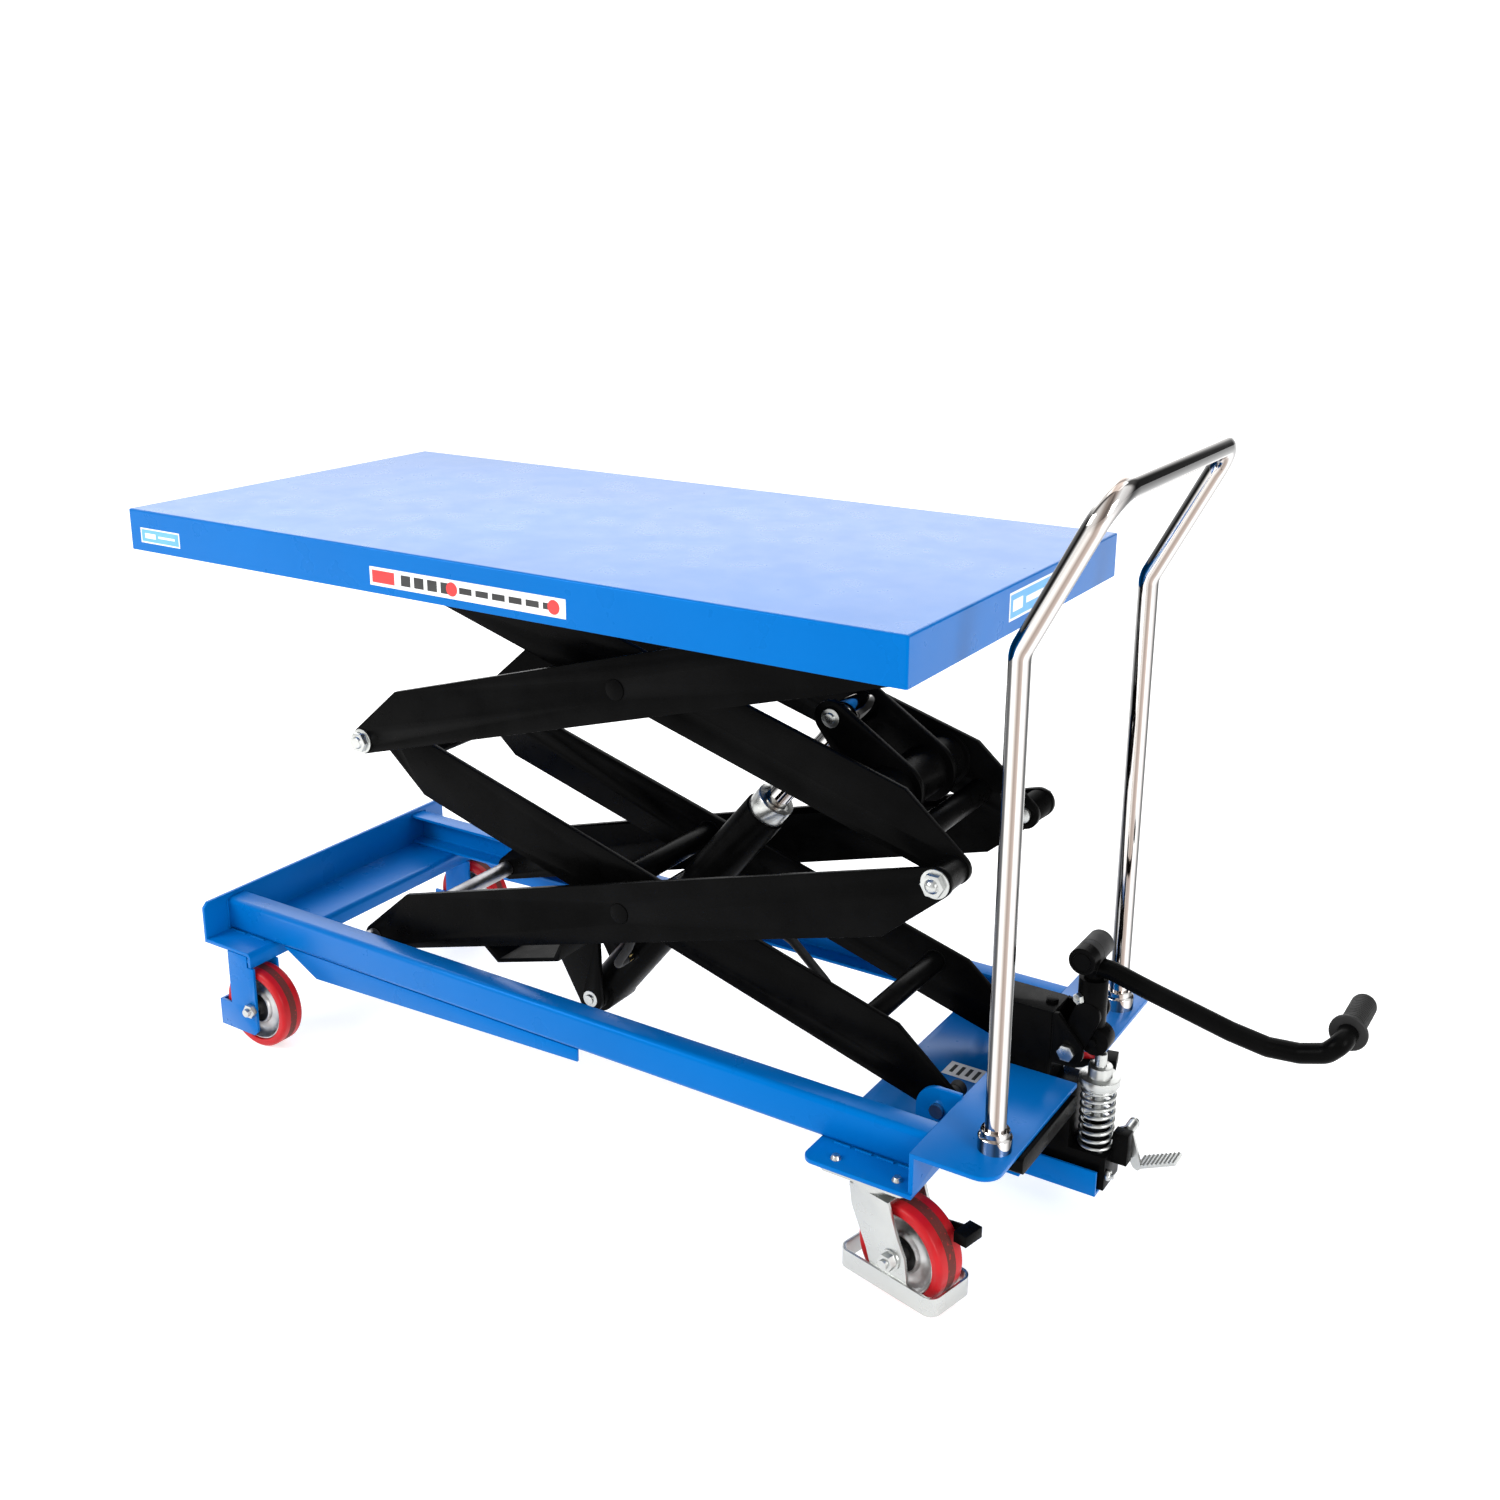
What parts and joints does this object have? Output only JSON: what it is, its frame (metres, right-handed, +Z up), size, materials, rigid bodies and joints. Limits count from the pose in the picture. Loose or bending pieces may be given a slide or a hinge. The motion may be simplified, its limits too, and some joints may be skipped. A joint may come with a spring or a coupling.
{
  "type": "scissor lift table",
  "caption": "Mobile double-scissor lift table with a foot and hand pump, one lifting cylinder, push handle and braked swivel casters.",
  "frame": {"origin": "on the floor, under the middle of the whole object's box", "axes": "+X from the fixed front wheels to the push handle and pump, +Y to the right-hand side seen from the front wheels, +Z up"},
  "size_m": [1.638, 0.6, 0.9814],
  "materials": {
    "blue_paint": "glossy blue powder coat",
    "black_paint": "semi-gloss black paint",
    "zinc": "zinc plated",
    "dark_steel": "oiled steel",
    "chrome": "bright chrome",
    "red_tread": "red polyurethane",
    "hub_metal": "cast",
    "black_rubber": "matt"
  },
  "bodies": {
    "chassis": {"side_rails": "blue_paint", "front_cross_plate": "blue_paint", "front_wheel_brackets": "blue_paint", "rear_plate": "blue_paint", "base_pivot_pins": "zinc", "chassis_bolts": "zinc", "caster_top_plates": "zinc", "under_plate_bar": "black_paint", "push_handle": "chrome", "handle_collars": "chrome", "pump_tank": "black_paint", "pump_block": "black_paint", "pump_channel": "blue_paint", "pump_ears": "black_paint", "pump_spring": "zinc", "hose_base": "black_rubber"},
    "lower_inner": {"lower_inner_arms": "black_paint", "lower_inner_tubes": "black_paint", "hose_arm": "black_rubber"},
    "lower_outer": {"lower_outer_arms": "black_paint", "lower_centre_pins": "black_paint", "right_mid_pins": "zinc", "lower_roller_shaft": "dark_steel", "cross_channel": "black_paint", "lower_cylinder_pin": "zinc", "hose_cylinder": "black_rubber"},
    "upper_inner": {"upper_inner_arms": "black_paint", "torsion_tube": "black_paint", "upper_cylinder_pins": "zinc", "upper_roller_shaft": "dark_steel"},
    "upper_outer": {"upper_outer_arms": "black_paint", "upper_centre_pins": "black_paint", "left_mid_pins": "zinc"},
    "platform": {"platform_deck": "blue_paint", "platform_rails": "blue_paint", "platform_pivot_pins": "zinc"},
    "barrel": {"cylinder_barrel": "black_paint", "cylinder_gland": "zinc"},
    "rod": {"cylinder_rod": "chrome"},
    "base_roller_left": {"base_roller_left": "dark_steel"},
    "base_roller_right": {"base_roller_right": "dark_steel"},
    "platform_roller_left": {"platform_roller_left": "dark_steel"},
    "platform_roller_right": {"platform_roller_right": "dark_steel"},
    "plunger": {"plunger": "zinc"},
    "lever": {"lever_socket": "black_paint", "pump_lever": "black_paint", "lever_grip": "black_rubber"},
    "release": {"release_pedal": "zinc"},
    "front_wheel_left": {"front_tyre_left": "red_tread", "front_hub_left": "hub_metal"},
    "caster_left": {"caster_fork_left": "zinc"},
    "caster_wheel_left": {"caster_tyre_left": "red_tread", "caster_hub_left": "hub_metal"},
    "brake_left": {"brake_pedal_left": "black_paint"},
    "front_wheel_right": {"front_tyre_right": "red_tread", "front_hub_right": "hub_metal"},
    "caster_right": {"caster_fork_right": "zinc"},
    "caster_wheel_right": {"caster_tyre_right": "red_tread", "caster_hub_right": "hub_metal"},
    "brake_right": {"brake_pedal_right": "black_paint"}
  },
  "joints": [
    {"name": "lift", "type": "hinge", "parent": "chassis", "child": "lower_inner", "pos_m": [0.373, 0, 0.1805], "axis": [0, 1, 0], "range_deg": [-10.5, 17.5]},
    {"name": "lower_scissor", "type": "hinge", "parent": "lower_inner", "child": "lower_outer", "pos_m": [-0.08197, 0, 0.33503], "axis": [0, 1, 0], "range_deg": [-35.7, 21.42]},
    {"name": "right_mid_pivot", "type": "hinge", "parent": "lower_outer", "child": "upper_inner", "pos_m": [0.373, 0, 0.48956], "axis": [0, 1, 0], "range_deg": [-21.42, 35.7]},
    {"name": "left_mid_pivot", "type": "hinge", "parent": "lower_inner", "child": "upper_outer", "pos_m": [-0.53695, 0, 0.48956], "axis": [0, 1, 0], "range_deg": [-35.7, 21.42]},
    {"name": "platform_pivot", "type": "hinge", "parent": "upper_outer", "child": "platform", "pos_m": [0.373, 0, 0.79862], "axis": [0, 1, 0], "range_deg": [-10.71, 17.85]},
    {"name": "cylinder_pivot", "type": "hinge", "parent": "lower_outer", "child": "barrel", "pos_m": [-0.217, 0, 0.124], "axis": [0, 1, 0], "range_deg": [-0.3749, 0.6248]},
    {"name": "rod_slide", "type": "slide", "parent": "barrel", "child": "rod", "axis": [0.6239, 0, 0.7815], "range_m": [-0.088, 0.146]},
    {"name": "base_roller_left_spin", "type": "hinge", "parent": "lower_outer", "child": "base_roller_left", "pos_m": [-0.53695, -0.2, 0.1805], "axis": [0, 1, 0], "continuous": true},
    {"name": "platform_roller_left_spin", "type": "hinge", "parent": "upper_inner", "child": "platform_roller_left", "pos_m": [-0.53695, -0.2, 0.79862], "axis": [0, 1, 0], "continuous": true},
    {"name": "front_wheel_left_spin", "type": "hinge", "parent": "chassis", "child": "front_wheel_left", "pos_m": [-0.694, -0.239, 0.0625], "axis": [0, 1, 0], "continuous": true},
    {"name": "caster_left_swivel", "type": "hinge", "parent": "chassis", "child": "caster_left", "pos_m": [0.347, -0.222, 0.13], "axis": [0, 0, 1], "continuous": true},
    {"name": "caster_wheel_left_spin", "type": "hinge", "parent": "caster_left", "child": "caster_wheel_left", "pos_m": [0.39474, -0.23302, 0.0625], "axis": [0.225, 0.9744, 0], "continuous": true},
    {"name": "brake_left", "type": "hinge", "parent": "caster_left", "child": "brake_left", "pos_m": [0.40741, -0.23595, 0.092], "axis": [0.225, 0.9744, 0], "range_deg": [0, 8]},
    {"name": "base_roller_right_spin", "type": "hinge", "parent": "lower_outer", "child": "base_roller_right", "pos_m": [-0.53695, 0.2, 0.1805], "axis": [0, 1, 0], "continuous": true},
    {"name": "platform_roller_right_spin", "type": "hinge", "parent": "upper_inner", "child": "platform_roller_right", "pos_m": [-0.53695, 0.2, 0.79862], "axis": [0, 1, 0], "continuous": true},
    {"name": "front_wheel_right_spin", "type": "hinge", "parent": "chassis", "child": "front_wheel_right", "pos_m": [-0.694, 0.239, 0.0625], "axis": [0, 1, 0], "continuous": true},
    {"name": "caster_right_swivel", "type": "hinge", "parent": "chassis", "child": "caster_right", "pos_m": [0.347, 0.222, 0.13], "axis": [0, 0, 1], "continuous": true},
    {"name": "caster_wheel_right_spin", "type": "hinge", "parent": "caster_right", "child": "caster_wheel_right", "pos_m": [0.39474, 0.23302, 0.0625], "axis": [-0.225, 0.9744, 0], "continuous": true},
    {"name": "brake_right", "type": "hinge", "parent": "caster_right", "child": "brake_right", "pos_m": [0.40741, 0.23595, 0.092], "axis": [-0.225, 0.9744, 0], "range_deg": [0, 8]},
    {"name": "pump_lever", "type": "hinge", "parent": "chassis", "child": "lever", "pos_m": [0.485, 0.027, 0.234], "axis": [0, 1, 0], "range_deg": [0, 20], "stiffness_Nm_per_rad": 60, "springref_deg": -20.05},
    {"name": "plunger_slide", "type": "slide", "parent": "chassis", "child": "plunger", "axis": [0, 0, -1], "range_m": [0, 0.0125], "deforming": ["pump_spring"]},
    {"name": "release_pedal", "type": "hinge", "parent": "chassis", "child": "release", "pos_m": [0.553, 0.05, 0.12], "axis": [0, 1, 0], "range_deg": [0, 14], "stiffness_Nm_per_rad": 2, "springref_deg": -17.19}
  ],
  "couplings": [
    {"joint": "lower_scissor", "follows": "lift", "ratio": -2},
    {"joint": "right_mid_pivot", "follows": "lift", "ratio": 2},
    {"joint": "left_mid_pivot", "follows": "lift", "ratio": -2},
    {"joint": "platform_pivot", "follows": "lift", "ratio": 1},
    {"joint": "cylinder_pivot", "follows": "lift", "ratio": 0.035},
    {"joint": "rod_slide", "follows": "lift", "m_per_rad": 0.468},
    {"joint": "plunger_slide", "follows": "pump_lever", "m_per_rad": 0.035}
  ]
}
